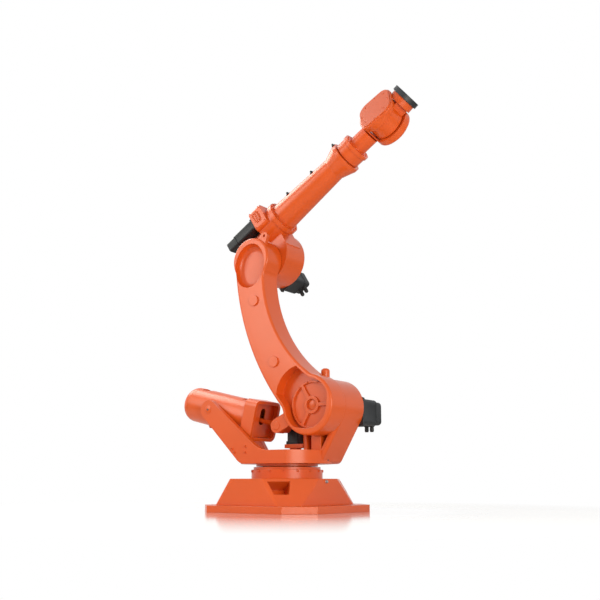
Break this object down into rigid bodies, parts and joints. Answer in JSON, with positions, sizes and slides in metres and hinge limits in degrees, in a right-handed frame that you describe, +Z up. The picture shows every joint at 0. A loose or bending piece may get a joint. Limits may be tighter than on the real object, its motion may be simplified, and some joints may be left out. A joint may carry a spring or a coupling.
{
  "type": "industrial robot arm",
  "caption": "Floor-standing jointed industrial robot arm: turntable on a flared base, curved lower arm with spring balancer, tapered forearm, rolling and bending wrist, tool flange.",
  "frame": {"origin": "on the floor, on the axis about which the turntable turns", "axes": "+Z up along the waist axis, +X to the robot's front, which the forearm points to, +Y to its left"},
  "size_m": [1.9024, 0.941, 2.8362],
  "materials": {
    "connector_black": "moulded",
    "flange_steel": "dark phosphated",
    "motor_black": "matt paint",
    "orange_casting": "satin paint",
    "orange_cover": "satin paint",
    "pin_steel": "turned"
  },
  "bodies": {
    "base": {"base_plate": "orange_casting", "base_pedestal": "orange_casting", "base_bearing_ring": "orange_casting"},
    "turntable": {"turntable_ring": "orange_casting", "turntable_casting": "orange_casting", "shoulder_stop": "orange_casting", "trunnion_pin_near": "pin_steel", "trunnion_pin_far": "pin_steel", "waist_bracket": "orange_casting", "waist_motor": "motor_black", "shoulder_motor": "motor_black", "shoulder_power_plug": "connector_black", "shoulder_signal_plug": "connector_black"},
    "balancer": {"balancer_cylinder": "orange_casting", "balancer_rear_cap": "orange_cover", "balancer_front_block": "orange_casting"},
    "balancer_rod": {"balancer_rod": "orange_casting"},
    "lower_arm": {"lower_arm_casting": "orange_casting", "shoulder_gear_cover": "orange_cover", "balancer_pin": "pin_steel"},
    "forearm": {"elbow_casting": "orange_casting", "motor_gear_case": "orange_casting", "elbow_motor": "motor_black", "elbow_power_plug": "connector_black", "elbow_signal_plug": "connector_black", "wrist_motor_near": "motor_black", "wrist_motor_middle": "motor_black", "wrist_motor_far": "motor_black", "forearm_tube": "orange_casting"},
    "wrist": {"wrist_collar": "orange_casting", "wrist_housing": "orange_casting", "wrist_cover_near": "orange_cover", "wrist_cover_far": "orange_cover"},
    "wrist_head": {"wrist_tilt_head": "orange_casting"},
    "tool": {"tool_flange": "flange_steel"}
  },
  "joints": [
    {"name": "waist_turn", "type": "hinge", "parent": "base", "child": "turntable", "pos_m": [0, 0, 0.3], "axis": [0, 0, 1], "range_deg": [-170, 170]},
    {"name": "shoulder_swing", "type": "hinge", "parent": "turntable", "child": "lower_arm", "pos_m": [0.31, 0, 0.69], "axis": [0, 1, 0], "range_deg": [-28, 85]},
    {"name": "elbow_swing", "type": "hinge", "parent": "lower_arm", "child": "forearm", "pos_m": [-0.18024, 0, 1.74132], "axis": [0, -1, 0], "range_deg": [-65, 85]},
    {"name": "wrist_roll", "type": "hinge", "parent": "forearm", "child": "wrist", "pos_m": [0.51113, 0, 2.42219], "axis": [0.8508, 0, 0.5255], "range_deg": [-200, 200]},
    {"name": "wrist_bend", "type": "hinge", "parent": "wrist", "child": "wrist_head", "pos_m": [0.82338, 0, 2.61504], "axis": [-0.2386, -0.891, 0.3863], "range_deg": [-129, 111]},
    {"name": "tool_turn", "type": "hinge", "parent": "wrist_head", "child": "tool", "pos_m": [0.99674, 0.01605, 2.75913], "axis": [0.7671, 0.071, 0.6376], "range_deg": [-360, 360]},
    {"name": "balancer_rock", "type": "hinge", "parent": "turntable", "child": "balancer", "pos_m": [-0.503, -0.075, 0.69], "axis": [0, -1, 0], "range_deg": [-12, 36]},
    {"name": "rod_pivot", "type": "hinge", "parent": "lower_arm", "child": "balancer_rod", "pos_m": [0.03539, -0.075, 0.56195], "axis": [0, -1, 0], "range_deg": [-40, 121]}
  ],
  "couplings": [
    {"joint": "balancer_rock", "follows": "shoulder_swing", "ratio": 0.42},
    {"joint": "rod_pivot", "follows": "shoulder_swing", "ratio": 1.42}
  ]
}
